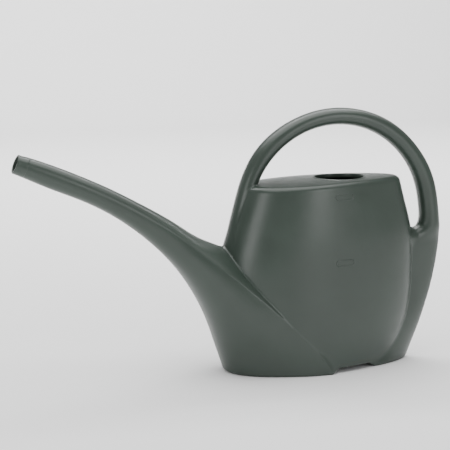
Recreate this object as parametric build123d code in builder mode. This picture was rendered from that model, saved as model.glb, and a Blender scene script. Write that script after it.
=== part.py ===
"""A small indoor watering can, blow-moulded in one piece from polyethylene.

Millimetres, +Z up. The origin is on the ground under the middle of the can. The spout points along -X,
the back of the handle along +X, and Y = 0 is the plane where the two mould halves meet.

The moulding is divided into named regions at its creases. Each region is a thin-walled solid that meets
its neighbours face to face, and together they enclose one hollow space.
"""

from build123d import *
from math import cos, hypot, pi, sin
import os

# ---- driving dimensions ----------------------------------------------------------------------------
wall = 1.8  # moulded wall
can_length = 180.0  # along the ground, from the front of the spout root to the back of the handle root
can_width = 88.2  # of the oval that the tank's sections are drawn from
deck_height = 175.2  # highest point of the crowned deck
deck_crown_radius = 1225.0
deck_crest = 0.44  # where the deck is highest, as a share of half the can's length
shoulder_radius = 4.5  # where the deck turns into the wall
heel_radius = 4.0  # where the wall turns under to the floor
shoulder_seam = 10.0  # below the deck's highest point, where the deck region ends
floor_clearance = 4.5  # the tank's own floor stands this far off the ground
floor_seam = 12.0  # height of the top of the floor region

fill_x = 20.0  # middle of the fill opening
fill_radius = 22.5
fill_lip_width = 2.6
fill_lip_rise = 1.3  # above the deck's highest point

spout_reach = 188.4  # from the front of the can to the middle of the mouth
mouth_height = 196.8
tip_radius = 8.5
tip_length = 10.0  # straight land at the mouth of the spout
tip_rise = 21.5  # degrees that the spout still rises at its mouth

hand_clearance = 48.5  # from the deck's highest point to the underside of the grip
grip_thickness = 14.8  # at the top of the grip
grip_width = 20.4
leg_thickness = 21.3  # of the handle at its rear
leg_taper = 0.87  # the front leg's thickness as a share of the rear's
leg_setback = 6.3  # from the front of the deck to the inside of the front leg
inner_spring = 0.796  # heights where the two arcs of the handle stand upright, as shares of the deck's
outer_spring = 0.770
rear_gap = 9.2  # between the tank and the back of the handle
rear_root_width = 27.0

notch_front_x = 1.5  # the groove across the underside, between the two feet
notch_back_x = 47.0
notch_slope = 8.0  # along X, how far each end of the groove slants

mark_x = 10.5  # middle of the level marks
mark_length = 18.0
mark_width = 2.0
mark_rise = 0.5
lower_mark_height = 101.7
upper_mark_drop = 14.2  # below the deck's highest point
seam_width = 2.4
seam_rise = 1.2

# ---- what follows from them ------------------------------------------------------------------------
half_length = can_length / 2
half_width = can_width / 2
crest_x = deck_crest * half_length
mouth_x = -half_length - spout_reach
egg = 0.27  # how much fuller an oval is at its front than at its back
QUARTER_POINTS = 5  # spline points in each quarter of an outline

# height as a share of the deck's, then the front, the back and the width of the tank's oval there
tank_levels = [
    (0.000, -0.800, 0.860, 0.873),
    (0.150, -0.911, 0.915, 0.937),
    (0.340, -1.000, 1.014, 0.970),
    (0.520, -1.028, 1.036, 0.975),
    (0.700, -0.967, 1.013, 0.952),
    (0.860, -0.872, 0.943, 0.907),
    (1.020, -0.772, 0.847, 0.853),
]

# The spout's ribs, from the mouth down to the ground. Each gives the keel and the crest of the section,
# as shares of the reach ahead of the can's front and of the mouth's height, then the section's width,
# where it is widest from keel to crest, and how square its crest is.
spout_ribs = [
    ((0.768, 0.860), (0.729, 0.952), 19.8, 0.50, 2.0),
    ((0.546, 0.753), (0.488, 0.842), 22.5, 0.50, 2.0),
    ((0.394, 0.646), (0.317, 0.749), 28.0, 0.52, 2.1),
    ((0.240, 0.494), (0.116, 0.626), 42.0, 0.55, 2.3),
    ((0.162, 0.385), (-0.011, 0.513), 62.0, 0.60, 2.6),
    ((0.083, 0.228), (-0.158, 0.376), 80.0, 0.62, 2.8),
    ((0.034, 0.084), (-0.320, 0.205), 90.0, 0.66, 2.8),
    ((-0.016, -0.071), (-0.589, -0.061), 92.6, 0.68, 2.8),
]


def oval_points(front, back, oval_half_width):
    """Points round a level oval that is fuller towards its front."""
    middle, reach = (front + back) / 2, (back - front) / 2
    angles = [pi + pi / 2 * i / QUARTER_POINTS for i in range(4 * QUARTER_POINTS)]
    return [
        (middle + reach * cos(t), oval_half_width * sin(t) * (1 - egg * cos(t))) for t in angles
    ]


def rib_points(length, rib_half_width, widest, back_power):
    """Points round a section whose nose is at 0 and whose back is at length, along the sketch's X.

    widest is where the section is widest, as a share of its length. A back_power of 2 rounds the back
    as an ellipse does, and a higher one squares it off.
    """
    middle = widest * length
    turns = [pi / 2 * i / QUARTER_POINTS for i in range(QUARTER_POINTS)]
    nose = [(middle - middle * cos(t), rib_half_width * sin(t)) for t in turns]
    back = [
        (
            middle + (length - middle) * sin(t) ** (2 / back_power),
            rib_half_width * cos(t) ** (2 / back_power),
        )
        for t in turns
    ]
    one_side = nose + back
    return one_side + [(length, 0)] + [(x, -y) for x, y in reversed(one_side[1:])]


def draw_rib(rib, inset):
    """Sketch one section of a loft. rib is its nose and back, as (x, z), then its width and shape."""
    (nose_x, nose_z), (back_x, back_z), rib_width, widest, back_power = rib
    length = hypot(back_x - nose_x, back_z - nose_z)
    along = Vector(back_x - nose_x, 0, back_z - nose_z) / length
    plane = Plane(
        origin=Vector(nose_x, 0, nose_z) + along * inset,
        x_dir=along,
        z_dir=along.cross(Vector(0, 1, 0)),
    )
    with BuildSketch(plane) as profile:
        with BuildLine():
            Spline(
                rib_points(length - 2 * inset, rib_width / 2 - inset, widest, back_power),
                periodic=True,
            )
        make_face()
    return profile.sketch


def draw_oval(level, inset):
    """Sketch one level section of the tank."""
    height, front, back, width = level
    with BuildSketch(Plane.XY.offset(height * deck_height)) as profile:
        with BuildLine():
            Spline(
                oval_points(
                    front * half_length + inset, back * half_length - inset, width * half_width - inset
                ),
                periodic=True,
            )
        make_face()
    return profile.sketch


# ---- the tank --------------------------------------------------------------------------------------
def tank_body(inset):
    """The tank's solid, inset from its outer surface, with its crowned deck and rounded edges."""
    with BuildPart() as body:
        loft([draw_oval(level, inset) for level in tank_levels])
        with BuildSketch(Plane.XY.offset(floor_clearance + inset)):
            Rectangle(3 * can_length, 3 * can_width)
        extrude(amount=deck_height, mode=Mode.INTERSECT)
        with Locations((crest_x, 0, deck_height - deck_crown_radius)):
            Sphere(deck_crown_radius - inset, mode=Mode.INTERSECT)
        fillet(body.faces().sort_by(Axis.Z)[-1].edges(), shoulder_radius - inset)
        fillet(body.faces().sort_by(Axis.Z)[0].edges(), heel_radius - inset)
    return body.part


# ---- the spout -------------------------------------------------------------------------------------
rise = tip_rise * pi / 180
tip_along = Vector(-cos(rise), 0, sin(rise))  # the way the water leaves
tip_across = Vector(sin(rise), 0, cos(rise))
mouth = Vector(mouth_x, 0, mouth_height)
land_end = mouth - tip_along * tip_length


def spout_place(share):
    """A point (x, z) from its shares of the spout's reach and rise."""
    return (-half_length - share[0] * spout_reach, share[1] * mouth_height)


def spout_rib_list():
    """The ribs of the whole spout, from the inner end of its straight land to below the ground."""
    keel, crest = land_end - tip_across * tip_radius, land_end + tip_across * tip_radius
    ribs = [((keel.X, keel.Z), (crest.X, crest.Z), 2 * tip_radius, 0.5, 2.0)]
    return ribs + [(spout_place(keel), spout_place(crest), *shape) for keel, crest, *shape in spout_ribs]


# ---- the handle ------------------------------------------------------------------------------------
tank_back = max(back for _, _, back, _ in tank_levels) * half_length
tank_front_at_deck = tank_levels[-1][1] * half_length
inner_rear = tank_back + rear_gap
inner_front = tank_front_at_deck + leg_setback
inner_top = deck_height + hand_clearance
outer_rear = inner_rear + leg_thickness
outer_front = inner_front - leg_taper * leg_thickness
outer_top = inner_top + grip_thickness


# The ribs of the handle below its arcs, as x and z of the outer end, then of the inner end. Heights are
# shares of the deck's. x is a share of half the can's length, or at the root's outer end of outer_rear.
# The root's ribs go on with their width as a share of rear_root_width, and where they are widest.
leg_ribs = [
    (-1.040, 0.55, -0.780, 0.560),
    (-0.985, 0.69, -0.755, 0.700),
]
root_ribs = [
    (1.000, 0.735, 1.125, 0.755, 0.80, 0.50),
    (0.993, 0.645, 0.90, 0.62, 0.96, 0.50),
    (0.965, 0.52, 0.78, 0.50, 1.00, 0.47),
    (0.900, 0.32, 0.66, 0.28, 1.10, 0.50),
    (0.815, 0.14, 0.50, 0.08, 1.55, 0.55),
    (0.680, -0.09, 0.28, -0.09, 2.20, 0.60),
]


def arc_place(front, rear, top, spring, angle):
    """A point (x, z) on the half-oval that springs from front and rear and reaches top."""
    turn = angle * pi / 180
    middle, reach = (front + rear) / 2, (rear - front) / 2
    return (middle + reach * cos(turn), spring + (top - spring) * sin(turn))


def handle_rib_list():
    """The ribs of the whole handle, from inside the spout root, over the deck, to below the ground."""
    ribs = [
        (
            (outer_x * half_length, outer_z * deck_height),
            (inner_x * half_length, inner_z * deck_height),
            grip_width,
            0.5,
            2.0,
        )
        for outer_x, outer_z, inner_x, inner_z in leg_ribs
    ]
    for angle in range(170, -1, -20):
        outer = arc_place(outer_front, outer_rear, outer_top, outer_spring * deck_height, angle)
        inner = arc_place(inner_front, inner_rear, inner_top, inner_spring * deck_height, angle)
        ribs.append((outer, inner, grip_width, 0.5, 2.0))
    for outer_x, outer_z, inner_x, inner_z, width, widest in root_ribs:
        outer = (outer_x * outer_rear, outer_z * deck_height)
        inner = (inner_x * half_length, inner_z * deck_height)
        ribs.append((outer, inner, width * rear_root_width, widest, 2.0))
    return ribs


def span(ribs, first, last, inset):
    """The stretch of the spout or the handle between two of its ribs, cut off at the ground."""
    with BuildPart() as body:
        loft([draw_rib(rib, inset) for rib in ribs[first : last + 1]])
        with BuildSketch(Plane.XY.offset(inset)):
            Rectangle(3 * (can_length + spout_reach), 3 * can_width)
        extrude(amount=2 * outer_top, mode=Mode.INTERSECT)
    return body.part


def groove(inset):
    """The groove across the underside that leaves the can standing on two feet."""
    top = floor_clearance + inset
    with BuildPart() as body:
        with BuildSketch(Plane.XZ):
            with BuildLine():
                Polyline(
                    (notch_front_x - inset, 0),
                    (notch_front_x - inset + notch_slope, top),
                    (notch_back_x + inset - notch_slope, top),
                    (notch_back_x + inset, 0),
                    (notch_back_x + inset, -top),
                    (notch_front_x - inset, -top),
                    close=True,
                )
            make_face()
        extrude(amount=2 * can_width, both=True)
    return body.part


# ---- outer solids and the hollow inside them --------------------------------------------------------
spout_spans = {"spout_tube": (0, 2), "spout_neck": (2, 4), "spout_root": (4, 8)}
handle_spans = {
    "handle_front_leg": (0, 4),
    "handle_grip": (4, 8),
    "handle_rear_leg": (8, 13),
    "handle_root": (13, 16),
}
all_spans = [(name, spout_rib_list(), *ends) for name, ends in spout_spans.items()]
all_spans += [(name, handle_rib_list(), *ends) for name, ends in handle_spans.items()]
solid = {name: span(ribs, first, last, 0) for name, ribs, first, last in all_spans}
hollow = {name: span(ribs, first, last, wall) for name, ribs, first, last in all_spans}
for name in ("spout_root", "handle_root"):
    solid[name] -= groove(0)
    hollow[name] -= groove(wall)
solid["tank"], hollow["tank"] = tank_body(0), tank_body(wall)

# Each shell is a solid less its hollow. It is open where a neighbour's hollow runs into it, and it stops
# where it meets a neighbour that is drawn before it.
shell = {name: solid[name] - hollow[name] for name in solid}
for name in ("spout_root", "handle_front_leg", "handle_rear_leg", "handle_root"):
    shell["tank"] -= hollow[name]
    shell[name] -= solid["tank"]
shell["spout_root"] -= hollow["handle_front_leg"]
shell["handle_front_leg"] -= solid["spout_root"]

floor_plane = Plane.XY.offset(floor_seam)
deck_plane = Plane.XY.offset(deck_height - shoulder_seam)
os.makedirs("parts", exist_ok=True)


def write(piece, name):
    """Label a finished region and write its file."""
    piece.part.label = name
    export_step(piece.part, f"parts/{name}.step")


def write_region(name, piece_of, *sides):
    """Write the part of a shell that lies on the given side of each plane."""
    with BuildPart() as piece:
        add(shell[piece_of])
        for plane, keep in sides:
            split(bisect_by=plane, keep=keep)
    write(piece, name)


above, below = Keep.TOP, Keep.BOTTOM
write_region("tank_floor", "tank", (floor_plane, below))
write_region("tank_wall", "tank", (floor_plane, above), (deck_plane, below))
write_region("front_foot", "spout_root", (floor_plane, below))
write_region("spout_root", "spout_root", (floor_plane, above))
write_region("handle_root", "handle_root", (floor_plane, above))
write_region("rear_foot", "handle_root", (floor_plane, below))
for name in ("spout_neck", "spout_tube", "handle_front_leg", "handle_grip", "handle_rear_leg"):
    write_region(name, name)

# ---- the deck, its fill opening and the small parts ---------------------------------------------------
lip_radius = fill_radius + fill_lip_width
lip_top = deck_height + fill_lip_rise
lip_bottom = deck_height - 2 * wall

with BuildPart() as top_deck:
    add(shell["tank"])
    split(bisect_by=deck_plane, keep=Keep.TOP)
    with BuildSketch(deck_plane):
        with Locations((fill_x, 0)):
            Circle(lip_radius)
    extrude(amount=2 * shoulder_seam, mode=Mode.SUBTRACT)
write(top_deck, "top_deck")

with BuildPart() as fill_rim:
    with BuildSketch(Plane.XY.offset(lip_bottom)):
        with Locations((fill_x, 0)):
            Circle(lip_radius)
            Circle(fill_radius, mode=Mode.SUBTRACT)
    extrude(amount=lip_top - lip_bottom)
    fillet(fill_rim.edges().group_by(Axis.Z)[-1], 0.45 * fill_lip_width)
write(fill_rim, "fill_rim")

with BuildPart() as spout_tip:
    with BuildSketch(Plane(origin=land_end, x_dir=tip_across, z_dir=tip_along)):
        Circle(tip_radius)
        Circle(tip_radius - wall, mode=Mode.SUBTRACT)
    extrude(amount=tip_length)
    fillet(spout_tip.edges().filter_by(GeomType.CIRCLE).group_by(Axis.X)[0], 0.3 * wall)
write(spout_tip, "spout_tip")

mark_heights = {
    "lower_level_mark": lower_mark_height,
    "upper_level_mark": deck_height - upper_mark_drop,
}
raised_wall = tank_body(-mark_rise)
for name, height in mark_heights.items():
    with BuildPart() as level_mark:
        add(raised_wall)
        with BuildSketch(Plane.XY.offset(height - mark_width / 2)):
            with Locations((mark_x, -half_width)):
                Rectangle(mark_length, half_width)
        extrude(amount=mark_width, mode=Mode.INTERSECT)
        add(solid["tank"], mode=Mode.SUBTRACT)
    write(level_mark, name)

with BuildPart() as base_seam:
    seam_front, seam_back = notch_front_x + notch_slope, notch_back_x - notch_slope
    with BuildSketch(Plane.XY.offset(floor_clearance - seam_rise)):
        with Locations(((seam_front + seam_back) / 2, 0)):
            Rectangle(seam_back - seam_front - 4 * seam_width, seam_width)
    extrude(amount=seam_rise)
write(base_seam, "base_seam")
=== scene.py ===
"""Looks of a blow-moulded watering can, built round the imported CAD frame.

The can is one moulding, so its outer surface is worked out as a whole: each limb is a field of signed
distances in millimetres, the fields are blended with the moulding's real fillets, and a net of faces is
drawn on the blend. The net is then cut into the frame's regions along the real creases, and each region
becomes a closed shell with the moulding's wall thickness.
"""

import math

import bpy
import numpy as np
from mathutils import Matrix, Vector


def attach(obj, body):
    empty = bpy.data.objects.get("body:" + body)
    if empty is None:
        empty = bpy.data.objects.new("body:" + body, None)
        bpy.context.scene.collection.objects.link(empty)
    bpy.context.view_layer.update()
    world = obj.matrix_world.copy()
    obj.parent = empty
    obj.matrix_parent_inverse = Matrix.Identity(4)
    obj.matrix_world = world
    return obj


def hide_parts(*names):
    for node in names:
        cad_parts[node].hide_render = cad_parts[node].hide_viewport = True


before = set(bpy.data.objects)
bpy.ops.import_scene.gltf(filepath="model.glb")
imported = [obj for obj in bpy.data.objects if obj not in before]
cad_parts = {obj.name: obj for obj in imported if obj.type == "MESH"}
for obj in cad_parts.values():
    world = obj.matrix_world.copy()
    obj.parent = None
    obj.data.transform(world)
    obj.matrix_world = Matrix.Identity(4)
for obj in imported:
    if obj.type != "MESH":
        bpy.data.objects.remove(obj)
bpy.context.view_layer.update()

# every length below is in millimetres unless its comment says otherwise
MM = 0.001
WALL = 1.8
CELL = 2.6  # of the first net, which is divided once
NET_LOW, NET_HIGH = (-284, -50, -4), (126, 50, 242)


# ---- curves and fields ---------------------------------------------------------------------------
class Curve:
    """A natural cubic spline through points, straight beyond its ends."""

    def __init__(self, points):
        points = np.array(sorted(points), float)
        self.x, self.y = points[:, 0], points[:, 1]
        gap = np.diff(self.x)
        tilt = np.diff(self.y) / gap
        count = len(self.x)
        matrix, right = np.eye(count), np.zeros(count)
        for i in range(1, count - 1):
            matrix[i, i - 1 : i + 2] = gap[i - 1], 2 * (gap[i - 1] + gap[i]), gap[i]
            right[i] = 6 * (tilt[i] - tilt[i - 1])
        self.bend = np.linalg.solve(matrix, right)
        self.gap = gap
        self.ends = (
            tilt[0] - gap[0] * self.bend[1] / 6,
            tilt[-1] + gap[-1] * self.bend[-2] / 6,
        )

    def __call__(self, at):
        at = np.asarray(at, float)
        inside = np.clip(at, self.x[0], self.x[-1])
        i = np.clip(np.searchsorted(self.x, inside, side="right") - 1, 0, len(self.gap) - 1)
        h = self.gap[i]
        right = (inside - self.x[i]) / h
        left = 1 - right
        value = left * self.y[i] + right * self.y[i + 1]
        value += ((left**3 - left) * self.bend[i] + (right**3 - right) * self.bend[i + 1]) * h * h / 6
        low, high = np.minimum(at - self.x[0], 0), np.maximum(at - self.x[-1], 0)
        return value + low * self.ends[0] + high * self.ends[1]


def section(across, reach, out, half, power):
    """Near distance to the curve |across/reach|^power + |out/half|^power = 1."""
    u, v = np.abs(across) / reach, np.abs(out) / half
    size = np.maximum((u**power + v**power) ** (1 / power), 1e-4)
    steep = size ** (1 - power) * np.hypot(u ** (power - 1) / reach, v ** (power - 1) / half)
    return (size - 1) / np.maximum(steep, 0.25 / np.maximum(reach, half))


def blend(a, b, reach):
    """Union of two fields with a fillet."""
    near = np.maximum(reach - np.abs(a - b), 0) / reach
    return np.minimum(a, b) - near * near * reach / 4


def trim(a, b, radius):
    """Intersection of two fields with a rounded edge of this radius."""
    over = np.hypot(np.maximum(a + radius, 0), np.maximum(b + radius, 0)) - radius
    return np.where((a > -radius) & (b > -radius), over, np.maximum(a, b))


# ---- the tank ------------------------------------------------------------------------------------
EGG = 0.27  # how much fuller the oval is towards its front than at its middle
EGG_LIMIT = 1.2  # share of the oval's reach past which it grows no fuller
FRONT_POWER, REAR_POWER = 2.0, 2.3  # roundness of the oval's two halves: 2 is an ellipse
DECK_TOP, DECK_CREST_X, DECK_LONG_RADIUS, DECK_CROSS_RADIUS = 175.2, 40.0, 1225.0, 400.0
DECK_EDGE_RADIUS = 4.5
# height, front, back and half-width of the tank's oval
TANK_LEVELS = [
    (0, -72, 67, 42.4),
    (26, -82, 82.0, 43.6),
    (60, -90, 91.2, 43.7),
    (91, -92.5, 93.0, 43.0),
    (123, -87, 92.0, 42.0),
    (151, -78.5, 85.0, 40.0),
    (179, -69.5, 77.5, 37.6),
]
tank_front = Curve([(z, front) for z, front, _, _ in TANK_LEVELS])
tank_back = Curve([(z, back) for z, _, back, _ in TANK_LEVELS])
tank_half = Curve([(z, half) for z, _, _, half in TANK_LEVELS])


def deck_height(x, y):
    long_drop = (x - DECK_CREST_X) ** 2 / (2 * DECK_LONG_RADIUS)
    return DECK_TOP - long_drop - y * y / (2 * DECK_CROSS_RADIUS)


def tank_side(x, y, z):
    front, back, half = tank_front(z), tank_back(z), tank_half(z)
    reach = (back - front) / 2
    across = x - (front + back) / 2
    wide = half * (1 - EGG * np.clip(across / reach, -EGG_LIMIT, EGG_LIMIT))
    return section(across, reach, y, wide, np.where(across > 0, REAR_POWER, FRONT_POWER))


def tank(x, y, z):
    return trim(tank_side(x, y, z), z - deck_height(x, y), DECK_EDGE_RADIUS)


# ---- the spout: ribs that fan about a far point --------------------------------------------------
def fan(points, centre):
    """Points (x, z) as pairs of the fan's angle in degrees and distance from its centre."""
    x, z = np.array(points, float).T
    across, up = x - centre[0], z - centre[1]
    return list(zip(np.degrees(np.arctan2(up, across)), np.hypot(up, across)))


SPOUT_CENTRE = (-335.0, -70.0)
SPOUT_TURNS = (-10, 90)  # degrees of the fan that the spout's curves cover
# the spout's lower and upper outlines in the side view, from the mouth down
KEEL = [
    (-281.5, 188.9), (-250, 174.7), (-222, 163), (-193.7, 148.1), (-165, 127.1), (-135.6, 97.2),
    (-120.8, 75.7), (-105.7, 44.8), (-98.1, 22.8), (-90.3, 0.0), (-86, -16),
]
CREST = [
    (-275.3, 204.7), (-249.4, 195.8), (-221.6, 184.3), (-193.4, 171.1), (-164.6, 155.6), (-135.4, 138.1),
    (-113.1, 124.0),
]
# inside the tank the crest is only the top of a roof that slopes down to the horn's two ridges
ROOF = [(-10, 372), (14.2, 352), (18.7, 346), (23.8, 335), (29.3, 325), (34, 313.5), (37, 306)]
keel = Curve(fan(KEEL, SPOUT_CENTRE))
crest = Curve(fan(CREST, SPOUT_CENTRE) + ROOF)
# the widest line of the horn, which is its ridge near the tank
WIDEST = [
    (-10, 366), (4, 353), (14.2, 335.5), (18.7, 323), (23.8, 311), (29.3, 299.5), (34, 291.7),
    (38, 286), (42, 282), (46, 278.8),
]
# further out it runs at a share of the way from the keel to the crest
MIDWAY = [(50, 0.60), (56, 0.55), (65, 0.50), (72, 0.50), (79, 0.50)]
spout_widest = Curve(
    WIDEST + [(turn, float(keel(turn) + share * (crest(turn) - keel(turn)))) for turn, share in MIDWAY]
)
spout_half = Curve([
    (-10, 43.4), (0, 43.7), (10, 44.0), (17.5, 44.1), (24, 42.8), (30, 38), (36, 30.5), (40, 24.5),
    (44, 19), (49, 14.8), (56, 11.8), (67, 9.8), (79, 8.5),
])
# roundness of the section on its keel side and on its crest side
keel_power = Curve([(-10, 2.2), (10, 2.2), (22, 2.1), (32, 2.0), (79, 2.0)])
crest_power = Curve([
    (-10, 1.35), (12, 1.3), (24, 1.3), (34, 1.3), (40, 1.5), (46, 1.85), (52, 2.0), (65, 2.0), (79, 2.0),
])
TIP_RISE = math.radians(21.5)
TIP_ALONG = np.array([-math.cos(TIP_RISE), 0, math.sin(TIP_RISE)])
TIP_RADIUS, TIP_LENGTH = 8.5, 10.0
MOUTH = np.array([-278.4, 0, 196.8])
LAND_END = MOUTH - TIP_LENGTH * TIP_ALONG


def land_cut(x, y, z):
    """Distance past the plane where the straight land of the tip begins."""
    return (x - LAND_END[0]) * TIP_ALONG[0] + (z - LAND_END[2]) * TIP_ALONG[2]


def spout(x, y, z):
    turn = np.degrees(np.arctan2(z - SPOUT_CENTRE[1], x - SPOUT_CENTRE[0]))
    out = np.hypot(z - SPOUT_CENTRE[1], x - SPOUT_CENTRE[0])
    turn = np.clip(turn, *SPOUT_TURNS)
    low, high = keel(turn), crest(turn)
    widest = spout_widest(turn)
    below = out < widest
    reach = np.where(below, widest - low, high - widest)
    power = np.where(below, keel_power(turn), crest_power(turn))
    body = section(out - widest, reach, y, spout_half(turn), power)
    return np.maximum(body, land_cut(x, y, z) - TIP_LENGTH)


# ---- the handle: ribs that fan about the middle of the hoop --------------------------------------
HOOP = (18.3, 137.0)
HOOP_TURNS = (-50, 212)  # degrees round the hoop that it covers
FIN_LEVELS = (-14, 125)  # heights that the fin's curves cover
FIN_TOP, FIN_GIVES_WAY = 127, 17  # the fin turns into the hoop over this much height below its top


def arc(middle, radius, angles):
    turns = [math.radians(angle) for angle in angles]
    return [(middle[0] + radius * math.cos(turn), middle[1] + radius * math.sin(turn)) for turn in turns]


# the handle's outer and inner outlines in the side view, from the front leg over to the rear foot
HANDLE_OUTER = (
    [(-98, 88), (-93.5, 106), (-89.0, 122), (-85.6, 136), (-81.4, 152), (-76.6, 169.0)]
    + arc((18.7, 134.6), 103.5, range(140, 40, -20))
    + [(97.4, 200.6), (114.9, 169.8), (121.4, 134.6), (122.6, 121), (121.6, 102.1), (119.0, 84.8)]
    + [(115.2, 67.6), (110.1, 50.5), (104.2, 33.4), (97.2, 16.3), (90.2, 0.0), (84, -14)]
)
HANDLE_INNER = (
    [(-76, 92), (-72, 108), (-69, 124), (-66.8, 138), (-64.2, 155)]
    + arc((17.9, 138.6), 84.1, range(157, 0, -19))
    + [(102.4, 139.5), (102.5, 132.5), (100.0, 125.5), (93, 119.5), (84, 113), (70, 98), (50, 76)]
)


def hoop_angle(x, z):
    """Degrees round the hoop, counted from the back, negative below it and past 180 at the front."""
    turn = np.degrees(np.arctan2(z - HOOP[1], x - HOOP[0]))
    return np.where(turn < -100, turn + 360, turn)


def hoop_curve(points):
    x, z = np.array(points, float).T
    return Curve(zip(hoop_angle(x, z), np.hypot(z - HOOP[1], x - HOOP[0])))


handle_outer, handle_inner = hoop_curve(HANDLE_OUTER), hoop_curve(HANDLE_INNER)
handle_half = Curve([
    (-72, 38), (-62, 33), (-54, 24.5), (-45, 12.5), (-35, 11.2), (-22, 10.8), (-8, 10.6), (8, 10.3),
    (30, 10.2), (90, 10.0), (150, 10.2), (165, 10.6), (180, 11.0), (195, 11.5), (212, 12.0),
])
handle_power = Curve([(-72, 1.5), (-58, 1.55), (-40, 1.8), (-15, 2.0), (90, 2.1), (180, 2.1), (212, 2.1)])

# the fin down the back of the tank, by height: its back edge, its widest line, half-width and roundness
fin_back = Curve([(z, x) for x, z in HANDLE_OUTER if x > 80 and z < 136])
fin_middle = Curve([(0, 28), (12, 31), (30, 36), (49, 44), (69, 53), (85, 65), (105, 80), (125, 92)])
fin_half = Curve([(0, 33), (12, 27), (30, 21), (49, 15.5), (69, 12), (85, 10.9), (105, 10.5), (125, 10.3)])
fin_power = Curve([(0, 1.5), (12, 1.5), (30, 1.6), (49, 1.7), (69, 1.8), (85, 1.9), (105, 2.0), (125, 2.0)])


def hoop(x, y, z):
    turn = np.clip(hoop_angle(x, z), *HOOP_TURNS)
    out = np.hypot(z - HOOP[1], x - HOOP[0])
    high, low = handle_outer(turn), handle_inner(turn)
    return section(out - (high + low) / 2, (high - low) / 2, y, handle_half(turn), handle_power(turn))


def fin(x, y, z):
    level = np.clip(z, *FIN_LEVELS)
    middle = fin_middle(level)
    return section(x - middle, fin_back(level) - middle, y, fin_half(level), fin_power(level))


def handle(x, y, z):
    """The hoop, which turns into the fin behind the tank."""
    share = np.where(x > 0, np.clip((FIN_TOP - z) / FIN_GIVES_WAY, 0, 1), 0)
    share = share * share * (3 - 2 * share)
    return (1 - share) * hoop(x, y, z) + share * fin(x, y, z)


# ---- the whole outer surface ---------------------------------------------------------------------
GROUND_ROUNDING = 2.6
NOTCH_TOP = 4.1
NOTCH = Curve([
    (-40, 0), (-4, 0), (0, 0.4), (6.5, 3.7), (10, NOTCH_TOP), (23, NOTCH_TOP), (36, NOTCH_TOP),
    (40, 3.7), (47, 0.4), (51, 0), (90, 0),
])
SHARPEST_FILLET = 1.3
# where a fillet is larger: its middle in the side view, how far it spreads, and how much it adds there,
# where the spout's root runs out at the ground, between spout and front leg, and below the rear gap
HEEL_FILLET = (2, -2), 24, 7.0
LEG_FILLET = (-101, 117), 9, 7.0
GAP_FILLET = (94, 121), 7, 9.0


def underside(x):
    """Height of the underside: two feet with a groove between them."""
    return np.clip(NOTCH(x), 0, NOTCH_TOP)


def nearby(x, z, middle, spread, size):
    """This size at a point of the side view, falling to 0 over the spread."""
    return size * np.exp(-((x - middle[0]) ** 2 + (z - middle[1]) ** 2) / (2 * spread**2))


def whole(x, y, z):
    body = blend(tank(x, y, z), spout(x, y, z), SHARPEST_FILLET + nearby(x, z, *HEEL_FILLET))
    fillet = SHARPEST_FILLET + nearby(x, z, *LEG_FILLET) + nearby(x, z, *GAP_FILLET)
    body = blend(body, handle(x, y, z), fillet)
    return trim(body, underside(x) - z, GROUND_ROUNDING)


def slope(field, p, step=0.05):
    """Values and gradients of a field at an array of points."""
    value = field(*p.T)
    grad = np.empty_like(p)
    for axis in range(3):
        ahead, behind = p.copy(), p.copy()
        ahead[:, axis] += step
        behind[:, axis] -= step
        grad[:, axis] = (field(*ahead.T) - field(*behind.T)) / (2 * step)
    return value, grad


def step_onto(field, p, limit):
    """Move points one step towards the field's surface, no further than the limit."""
    value, grad = slope(field, p)
    move = -value[:, None] * grad / np.maximum((grad**2).sum(1), 0.05)[:, None]
    size = np.linalg.norm(move, axis=1)
    p += move * np.minimum(1, limit / np.maximum(size, 1e-9))[:, None]


def settle(field, p, rounds=4, limit=1.0):
    """The points, moved onto the field's surface."""
    p = p.copy()
    for _ in range(rounds):
        step_onto(field, p, limit)
    return p


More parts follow.
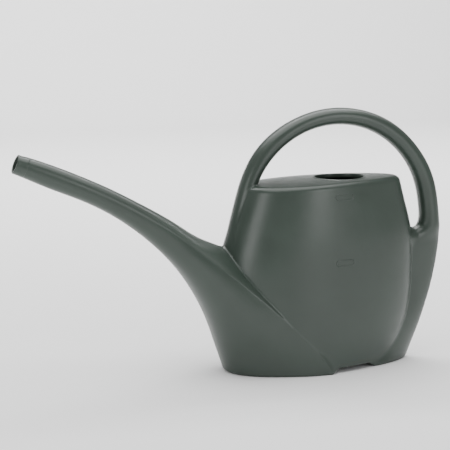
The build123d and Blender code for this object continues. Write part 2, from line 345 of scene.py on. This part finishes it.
def net(field, low, high, cell):
    """Quads on the surface of a field that mirrors in Y, one vertex in each cell that it crosses."""
    xs = np.arange(low[0], high[0] + cell, cell)
    zs = np.arange(low[2], high[2] + cell, cell)
    half = np.arange(0, high[1] + cell, cell)
    grid = np.stack(np.meshgrid(xs, half, zs, indexing="ij"), -1).reshape(-1, 3)
    value = field(*grid.T).reshape(len(xs), len(half), len(zs))
    value = np.concatenate([value[:, :0:-1], value], axis=1)
    ys = np.concatenate([-half[:0:-1], half])
    start = np.array([xs[0], ys[0], zs[0]])
    inside = value < 0
    shape = tuple(n - 1 for n in value.shape)
    total, weight = np.zeros(shape + (3,)), np.zeros(shape)
    corners = [(i, j, k) for i in (0, 1) for j in (0, 1) for k in (0, 1)]

    def corner(array, c):
        return array[tuple(slice(o, o + n) for o, n in zip(c, shape))]

    for a in corners:
        for axis in range(3):
            if a[axis]:
                continue
            b = tuple(1 if i == axis else v for i, v in enumerate(a))
            va, vb = corner(value, a), corner(value, b)
            crossing = corner(inside, a) != corner(inside, b)
            share = np.where(crossing, va / np.where(crossing, va - vb, 1), 0)
            for i in range(3):
                place = share if i == axis else a[i]
                total[..., i] += np.where(crossing, place, 0)
            weight += crossing
    active = weight > 0
    index = np.full(shape, -1)
    index[active] = np.arange(active.sum())
    cells = np.argwhere(active)
    points = start + cell * (cells + total[active] / weight[active][:, None])
    quads = []
    for axis in range(3):
        one, two = [(1, 2), (2, 0), (0, 1)][axis]
        near = [slice(None)] * 3
        far = [slice(None)] * 3
        near[axis], far[axis] = slice(0, -1), slice(1, None)
        changed = inside[tuple(near)] != inside[tuple(far)]
        spots = np.argwhere(changed)
        spots = spots[(spots[:, one] > 0) & (spots[:, two] > 0)]
        spots = spots[(spots[:, one] < shape[one]) & (spots[:, two] < shape[two])]
        outward = inside[tuple(near)][tuple(spots.T)]
        step_one, step_two = np.zeros(3, int), np.zeros(3, int)
        step_one[one], step_two[two] = 1, 1
        ring = [spots - step_one - step_two, spots - step_two, spots, spots - step_one]
        quad = np.stack([index[tuple(r.T)] for r in ring], 1)
        quads.append(np.where(outward[:, None], quad, quad[:, ::-1]))
    return points, np.concatenate(quads)


def divide(points, quads):
    """Split each quad in four."""
    edges = np.stack([quads, np.roll(quads, -1, axis=1)], -1).reshape(-1, 2)
    edges.sort(axis=1)
    unique, back = np.unique(edges, axis=0, return_inverse=True)
    back = back.reshape(-1, 4)
    middle = points[unique].mean(1)
    centre = points[quads].mean(1)
    first_edge, first_face = len(points), len(points) + len(unique)
    face = first_face + np.arange(len(quads))
    parts = []
    for i in range(4):
        after, before = first_edge + back[:, i], first_edge + back[:, i - 1]
        parts.append(np.stack([quads[:, i], after, face, before], 1))
    return np.concatenate([points, middle, centre]), np.concatenate(parts)


# ---- regions -------------------------------------------------------------------------------------
FLOOR_SEAM, DECK_SEAM = 12.0, 165.2
FILL_X, FILL_RADIUS, LIP_WIDTH = 20.0, 22.5, 2.6
FILL_DEPTH = 10.0  # what lies this near the deck's height, inside the lip, is cut away
FOOT_FRONT_X = -120.0
# degrees round the hoop where the grip ends at the front and the back, and where the handle's root begins
GRIP_FRONT, GRIP_BACK, ROOT_TOP = 150, 30, -22


def spout_cut(keel_point, crest_point):
    """A field that is negative towards the mouth of the spout, zero on one of its ribs."""
    (kx, kz), (cx, cz) = keel_point, crest_point
    length = math.hypot(cx - kx, cz - kz)
    return lambda x, y, z: ((x - kx) * (cz - kz) - (z - kz) * (cx - kx)) / length


tube_cut = spout_cut(KEEL[3], (-182.7, 165.8))
neck_cut = spout_cut(KEEL[5], (-112.0, 123.2))


def hoop_cut(angle):
    """A field that is zero on one rib of the handle and positive towards its front."""
    turn = math.radians(angle)
    return lambda x, y, z: (z - HOOP[1]) * math.cos(turn) - (x - HOOP[0]) * math.sin(turn)


def fill_cut(x, y, z):
    return np.hypot(x - FILL_X, y) - FILL_RADIUS - LIP_WIDTH


def floor_cut(x, y, z):
    return z - FLOOR_SEAM


def deck_cut(x, y, z):
    return z - DECK_SEAM


LIMB_FIELD = {
    "tank_wall": tank, "tank_floor": tank, "top_deck": tank,
    "spout_root": spout, "spout_neck": spout, "spout_tube": spout, "front_foot": spout,
    "handle_grip": handle, "handle_front_leg": handle, "handle_rear_leg": handle,
    "handle_root": handle, "rear_foot": handle,
}
NAMES = list(LIMB_FIELD)


def regions(points):
    """The region that each point belongs to, as an index into NAMES."""
    x, y, z = points.T
    limbs = [tank, spout, handle]
    nearest = np.stack([limb(x, y, z) for limb in limbs]).argmin(0)
    low, turn = z < FLOOR_SEAM, hoop_angle(x, z)
    everywhere = np.full(len(points), True)
    # a later line overrules an earlier one of the same limb
    rules = [
        ("tank_wall", everywhere),
        ("tank_floor", low),
        ("top_deck", z > DECK_SEAM),
        ("spout_root", everywhere),
        ("spout_neck", neck_cut(x, y, z) < 0),
        ("spout_tube", tube_cut(x, y, z) < 0),
        ("front_foot", low & (x > FOOT_FRONT_X)),
        ("handle_grip", everywhere),
        ("handle_front_leg", turn > GRIP_FRONT),
        ("handle_rear_leg", turn < GRIP_BACK),
        ("handle_root", turn < ROOT_TOP),
        ("rear_foot", (turn < 0) & low),
    ]
    label = np.full(len(points), -1)
    for name, chosen in rules:
        label[(nearest == limbs.index(LIMB_FIELD[name])) & chosen] = NAMES.index(name)
    return label


# the seam between two regions of one limb
SEAMS = {
    ("tank_floor", "tank_wall"): floor_cut,
    ("tank_wall", "top_deck"): deck_cut,
    ("spout_neck", "spout_root"): neck_cut,
    ("spout_neck", "spout_tube"): tube_cut,
    ("front_foot", "spout_root"): floor_cut,
    ("handle_front_leg", "handle_grip"): hoop_cut(GRIP_FRONT),
    ("handle_grip", "handle_rear_leg"): hoop_cut(GRIP_BACK),
    ("handle_rear_leg", "handle_root"): hoop_cut(ROOT_TOP),
    ("handle_root", "rear_foot"): floor_cut,
}


def seam_between(first, second):
    """A field that is zero where two regions meet."""
    pair = tuple(sorted((NAMES[first], NAMES[second])))
    if pair in SEAMS:
        return SEAMS[pair]
    one, two = LIMB_FIELD[pair[0]], LIMB_FIELD[pair[1]]
    return lambda x, y, z: one(x, y, z) - two(x, y, z)


def snap(points, chosen, seam, rounds=5, limit=0.8):
    """Move the chosen points onto both the surface and a seam."""
    p = points[chosen].copy()
    start = p.copy()
    for _ in range(rounds):
        for field in (seam, whole):
            step_onto(field, p, limit)
    strayed = np.linalg.norm(p - start, axis=1) > 1.2 * CELL
    p[strayed] = start[strayed]
    points[chosen] = p


def build_regions():
    """The outer surface cut into regions: points, normals and a list of quads for each name."""
    points, quads = net(whole, NET_LOW, NET_HIGH, CELL)
    points = settle(whole, points)
    points, quads = divide(points, quads)
    points = settle(whole, points)
    centre = points[quads].mean(1)
    label = regions(centre)
    in_opening = (fill_cut(*centre.T) < 0) & (abs(centre[:, 2] - DECK_TOP) < FILL_DEPTH)
    label[(land_cut(*centre.T) >= 0) | in_opening] = -1
    touching = [set() for _ in points]
    for face, name in zip(quads, label):
        for corner in face:
            touching[corner].add(int(name))
    groups = {}
    for i, names in enumerate(touching):
        if len(names) == 2:
            groups.setdefault(tuple(sorted(names)), []).append(i)
    for (first, second), chosen in groups.items():
        if first == -1:
            seam = land_cut if NAMES[second] == "spout_tube" else fill_cut
        else:
            seam = seam_between(first, second)
        snap(points, np.array(chosen), seam)
    normals = slope(whole, points)[1]
    normals /= np.maximum(np.linalg.norm(normals, axis=1), 1e-9)[:, None]
    return points, normals, {name: quads[label == i] for i, name in enumerate(NAMES)}


# ---- meshes --------------------------------------------------------------------------------------
def link(mesh, name):
    piece = bpy.data.objects.new(name, mesh)
    bpy.context.scene.collection.objects.link(piece)
    return piece


def shell(name, points, normals, quads):
    """A closed piece: outer faces, the same faces one wall further in, and a rim round every edge."""
    used, back = np.unique(quads, return_inverse=True)
    outer = back.reshape(-1, 4)
    count = len(used)
    inner = outer[:, ::-1] + count
    edges = np.stack([outer, np.roll(outer, -1, axis=1)], -1).reshape(-1, 2)
    known = {tuple(edge) for edge in edges.tolist()}
    rim = np.array([(a, b) for a, b in edges.tolist() if (b, a) not in known])
    rim_quads = np.stack([rim[:, 1], rim[:, 0], rim[:, 0] + count, rim[:, 1] + count], 1)
    places = np.concatenate([points[used], points[used] - WALL * normals[used]])
    facing = np.concatenate([normals[used], -normals[used]])
    faces = np.concatenate([outer, inner, rim_quads])
    mesh = bpy.data.meshes.new(name)
    mesh.from_pydata((places * MM).tolist(), [], faces.tolist())
    mesh.update()
    mesh.shade_smooth()
    loop_normals = facing[faces.reshape(-1)]
    face_normals = np.empty(len(mesh.polygons) * 3)
    mesh.polygons.foreach_get("normal", face_normals)
    first_rim_face = 2 * len(outer)
    rim_facing = face_normals.reshape(-1, 3)[first_rim_face:]
    loop_normals[4 * first_rim_face :] = np.repeat(rim_facing, 4, axis=0)
    mesh.normals_split_custom_set(loop_normals.tolist())
    return link(mesh, name)


def closed(name, sheets, wraps):
    """A closed piece from rings of points. The rings wrap round to the first, or the end rings are caps."""
    rows, count = len(sheets), len(sheets[0])
    places = np.concatenate(sheets)
    faces = []
    for i in range(rows if wraps else rows - 1):
        for j in range(count):
            a, b = i * count + j, i * count + (j + 1) % count
            c, d = ((i + 1) % rows) * count + (j + 1) % count, ((i + 1) % rows) * count + j
            faces.append((a, d, c, b))
    if not wraps:
        faces += [tuple(range(count)), tuple(range((rows - 1) * count, rows * count))[::-1]]
    mesh = bpy.data.meshes.new(name)
    mesh.from_pydata((places * MM).tolist(), [], faces)
    mesh.update()
    if signed_volume(mesh) < 0:
        mesh.flip_normals()
    mesh.shade_smooth()
    return link(mesh, name)


def signed_volume(mesh):
    total = 0.0
    for face in mesh.polygons:
        corners = [mesh.vertices[i].co for i in face.vertices]
        for b, c in zip(corners[1:], corners[2:]):
            total += corners[0].dot(b.cross(c))
    return total


def fill_lip():
    """The soft edge with which the deck turns down into the fill opening."""
    # radius, and height over the deck
    profile = [
        (25.1, 0.0), (24.7, 0.04), (24.3, 0.18), (23.9, 0.38), (23.5, 0.50), (23.1, 0.46), (22.8, 0.26),
        (22.62, -0.1), (22.54, -0.6), (22.5, -1.2), (22.5, -2.4), (22.5, -3.4), (22.7, -3.55),
        (23.2, -3.55), (24.0, -3.0), (25.1, -1.8), (25.1, -0.9),
    ]
    turns = np.linspace(0, 2 * np.pi, 160, endpoint=False)
    rings = []
    for radius, rise in profile:
        x, y = FILL_X + radius * np.cos(turns), radius * np.sin(turns)
        rings.append(np.stack([x, y, deck_height(x, y) + rise], 1))
    return closed("moulded_fill_rim", rings, True)


def spout_end():
    """The straight land at the mouth. It starts on the moulded tube and ends in a thin rounded lip."""
    across = np.array([TIP_ALONG[2], 0, -TIP_ALONG[0]])
    side = np.array([0, 1.0, 0])
    turns = np.linspace(0, 2 * np.pi, 96, endpoint=False)
    ways = np.cos(turns)[:, None] * across + np.sin(turns)[:, None] * side
    # the moulded tube's own radius in each direction, found by halving
    low, high = np.full(len(turns), 6.0), np.full(len(turns), 11.0)
    for _ in range(30):
        middle = (low + high) / 2
        outside = spout(*(LAND_END + middle[:, None] * ways).T) > 0
        low, high = np.where(outside, low, middle), np.where(outside, middle, high)
    first = (low + high) / 2
    # radius, and distance along the land: its outside, then the lip and the bore
    land = [(TIP_RADIUS, along) for along in np.linspace(0, 9.0, 13)]
    lip = [
        (8.47, 9.35), (8.38, 9.65), (8.2, 9.88), (7.95, 9.98), (7.6, 10.0), (7.25, 9.98), (6.98, 9.85),
        (6.8, 9.6), (6.72, 9.2), (6.7, 8.6), (6.7, 7.0), (6.7, 5.0), (6.7, 2.5), (6.7, 0.0), (7.3, -0.3),
    ]
    rings = []
    for i, (radius, along) in enumerate(land + lip):
        share = max(0.0, 1 - along / 8.0) if i < len(land) else 0.0
        share = share * share * (3 - 2 * share)
        size = radius + share * (first - TIP_RADIUS)
        rings.append(LAND_END + along * TIP_ALONG + size[:, None] * ways)
    return closed("moulded_spout_tip", rings, True)


def raised(name, spine, out, length, width, rise, sink):
    """A low rounded bar. spine(along, across) is a point of the surface that it stands on."""
    ends = np.linspace(-1, 1, 49)
    along = 0.5 * length * np.sin(ends * np.pi / 2)
    turns = np.linspace(0, 2 * np.pi, 28, endpoint=False)
    rings = []
    for place in along:
        past = max(0.0, abs(place) - (length - width) / 2) / (width / 2)
        size = math.sqrt(max(0.0, 1 - past * past)) + 0.02
        across = 0.5 * width * size * np.cos(turns)
        lift = np.where(np.sin(turns) > 0, rise * size**0.5, sink) * np.sin(turns)
        rings.append(spine(place, across) + lift[:, None] * out(place, across))
    return closed(name, rings, False)


LOWER_MARK_LEVEL, UPPER_MARK_LEVEL = 101.7, 161.0
MARK_X, MARK_LENGTH, MARK_HEIGHT = 10.5, 18.0, 5.2
MARK_LINE, MARK_RISE, MARK_SINK = 1.1, 0.4, 0.5  # how wide, high and deep the frame's line is


def level_mark(name, height):
    """A rounded frame on the near side of the tank, round this height."""

    def spine(place, across):
        x, z = MARK_X + place + 0 * across, height + across
        front, back, half = tank_front(z), tank_back(z), tank_half(z)
        u = (x - (front + back) / 2) / ((back - front) / 2)
        power = np.where(u > 0, REAR_POWER, FRONT_POWER)
        return np.stack([x, -half * (1 - EGG * u) * (1 - np.abs(u) ** power) ** (1 / power), z], 1)

    def out(place, across):
        grad = slope(tank_side, spine(place, across))[1]
        return grad / np.linalg.norm(grad, axis=1)[:, None]

    turns = np.linspace(0, 2 * np.pi, 20, endpoint=False)
    straight, end = 0.5 * (MARK_LENGTH - MARK_HEIGHT), 0.5 * MARK_HEIGHT
    half_turn = np.linspace(0, math.pi, 21)
    path = [(straight + end * math.sin(a), end * math.cos(a), a) for a in half_turn]
    path += [(-straight - end * math.sin(a), -end * math.cos(a), a + math.pi) for a in half_turn]
    rings = []
    for middle, rise, turn in path:
        across = 0.5 * MARK_LINE * np.cos(turns)
        lift = np.where(np.sin(turns) > 0, MARK_RISE, MARK_SINK) * np.sin(turns)
        place, up = middle + across * math.sin(turn), rise + across * math.cos(turn)
        rings.append(spine(place, up) + lift[:, None] * out(place, up))
    return closed(name, rings, True)


def floor_ridge():
    """The pinched seam under the middle of the tank's floor."""
    middle_x = 24.3

    def spine(place, across):
        return np.stack([middle_x + place + 0 * across, across, np.full(len(across), NOTCH_TOP)], 1)

    def out(place, across):
        return np.tile([0.0, 0.0, -1.0], (len(across), 1))

    return raised("moulded_base_seam", spine, out, length=19.8, width=2.3, rise=1.1, sink=0.5)


# ---- material ------------------------------------------------------------------------------------
def moulded_plastic():
    """Satin polyethylene with the mould's fine grain, faint flow clouds and slight waviness."""
    material = bpy.data.materials.new("moulded_polyethylene")
    material.use_nodes = True
    nodes, links = material.node_tree.nodes, material.node_tree.links
    shader = nodes["Principled BSDF"]
    shader.inputs["IOR"].default_value = 1.5
    place = nodes.new("ShaderNodeTexCoord")

    def noise(scale, detail, rough=0.5):
        node = nodes.new("ShaderNodeTexNoise")
        node.inputs["Scale"].default_value = scale
        node.inputs["Detail"].default_value = detail
        node.inputs["Roughness"].default_value = rough
        links.new(place.outputs["Object"], node.inputs["Vector"])
        return node

    def ramp(source, low, high, first, second):
        node = nodes.new("ShaderNodeMapRange")
        node.inputs["From Min"].default_value, node.inputs["From Max"].default_value = low, high
        node.inputs["To Min"].default_value, node.inputs["To Max"].default_value = first, second
        links.new(source.outputs[0], node.inputs["Value"])
        return node

    def bump(height, strength, depth, under=None):
        """A bump of this depth in metres, laid over another one."""
        node = nodes.new("ShaderNodeBump")
        node.inputs["Strength"].default_value = strength
        node.inputs["Distance"].default_value = depth
        links.new(height.outputs[0], node.inputs["Height"])
        if under:
            links.new(under.outputs[0], node.inputs["Normal"])
        return node

    clouds = ramp(noise(14, 3), 0.35, 0.65, 0, 1)
    mix = nodes.new("ShaderNodeMix")
    mix.data_type = "RGBA"
    mix.inputs["A"].default_value = (0.029, 0.042, 0.033, 1)
    mix.inputs["B"].default_value = (0.035, 0.050, 0.040, 1)
    links.new(clouds.outputs[0], mix.inputs["Factor"])
    links.new(mix.outputs["Result"], shader.inputs["Base Color"])
    rough = ramp(noise(60, 4), 0.3, 0.7, 0.29, 0.37)
    links.new(rough.outputs[0], shader.inputs["Roughness"])

    # the mould's parting line, a low ridge where the two halves met at Y = 0
    split = nodes.new("ShaderNodeSeparateXYZ")
    links.new(place.outputs["Object"], split.inputs[0])
    off = nodes.new("ShaderNodeMath")
    off.operation = "ABSOLUTE"
    links.new(split.outputs["Y"], off.inputs[0])
    flash = ramp(off, 0.0, 0.0011, 1.0, 0.0)
    flash.interpolation_type = "SMOOTHSTEP"

    grain = bump(noise(1500, 2, 0.6), 0.12, 0.0002)
    waves = bump(noise(35, 2), 0.15, 0.001, grain)
    parting = bump(flash, 0.6, 0.0004, waves)
    links.new(parting.outputs[0], shader.inputs["Normal"])
    return material


plastic = moulded_plastic()
points, normals, parts = build_regions()
pieces = {name: shell("moulded_" + name, points, normals, quads) for name, quads in parts.items()}
pieces["fill_rim"] = fill_lip()
pieces["spout_tip"] = spout_end()
pieces["lower_level_mark"] = level_mark("moulded_lower_level_mark", LOWER_MARK_LEVEL)
pieces["upper_level_mark"] = level_mark("moulded_upper_level_mark", UPPER_MARK_LEVEL)
pieces["base_seam"] = floor_ridge()
for name, piece in pieces.items():
    piece.data.materials.append(plastic)
    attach(piece, "root")
    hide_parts(name)


# ---- camera, light and floor ---------------------------------------------------------------------
# lengths here are in metres
CAMERA_PLACE, CAMERA_AIM = Vector((-0.4802, -1.2010, 0.3350)), Vector((-0.090, 0, 0.135))
CAMERA_ANGLE = 18
FLOOR_REACH = 7.0  # how far the floor runs to the front and to both sides
SWEEP_START, SWEEP_RADIUS = 2.4, 0.6  # where the floor turns up into the wall behind


def facing_turn(place, target):
    """The rotation of a camera or lamp at a place that looks at a target."""
    return (target - place).to_track_quat("-Z", "Y").to_euler()


camera_data = bpy.data.cameras.new("camera")
camera_data.angle = math.radians(CAMERA_ANGLE)
camera_data.clip_end = 20
camera = bpy.data.objects.new("camera", camera_data)
bpy.context.scene.collection.objects.link(camera)
camera.location = CAMERA_PLACE
camera.rotation_euler = facing_turn(CAMERA_PLACE, CAMERA_AIM)
bpy.context.scene.camera = camera

world = bpy.data.worlds.new("studio")
bpy.context.scene.world = world
world.use_nodes = True
background = world.node_tree.nodes["Background"]
background.inputs["Color"].default_value = (1, 1, 1, 1)
background.inputs["Strength"].default_value = 0.38


def area_light(name, place, target, size, power):
    light = bpy.data.lights.new(name, "AREA")
    light.shape = "RECTANGLE"
    light.size, light.size_y = size
    light.energy = power
    lamp = bpy.data.objects.new(name, light)
    lamp.location = place
    lamp.rotation_euler = facing_turn(Vector(place), Vector(target))
    bpy.context.scene.collection.objects.link(lamp)


# the size is in metres and the power in watts
area_light("overhead", (0, 0.2, 2.0), (0, 0.2, 0), size=(2.4, 2.4), power=62)
area_light("left", (-1.18, -0.56, 0.34), (-0.07, -0.02, 0.14), size=(0.55, 0.62), power=4.0)
area_light("right", (0.50, -1.20, 0.48), (0, 0, 0.12), size=(0.46, 0.80), power=4.8)
area_light("backdrop", (0.4, 1.3, 2.0), (0.6, 2.8, 0.0), size=(3.5, 0.8), power=110)

# a pale sweep: a flat floor that curves up into a wall well behind the can
profile = [(-FLOOR_REACH, 0.0), (-2.0, 0.0), (0.0, 0.0), (SWEEP_START, 0.0)]
for turn in np.linspace(0.08, math.pi / 2, 20):
    back, up = SWEEP_RADIUS * math.sin(turn), SWEEP_RADIUS - SWEEP_RADIUS * math.cos(turn)
    profile.append((SWEEP_START + back, up))
sweep = [(x, y, z) for y, z in profile for x in (-FLOOR_REACH, FLOOR_REACH)]
strips = [(i, i + 1, i + 3, i + 2) for i in range(0, 2 * len(profile) - 2, 2)]
floor_mesh = bpy.data.meshes.new("floor")
floor_mesh.from_pydata(sweep, [], strips)
floor_mesh.shade_smooth()
floor = link(floor_mesh, "floor")
paper = bpy.data.materials.new("studio_paper")
paper.use_nodes = True
paper_shader = paper.node_tree.nodes["Principled BSDF"]
paper_shader.inputs["Base Color"].default_value = (0.9, 0.9, 0.9, 1)
paper_shader.inputs["Roughness"].default_value = 0.9
floor_mesh.materials.append(paper)
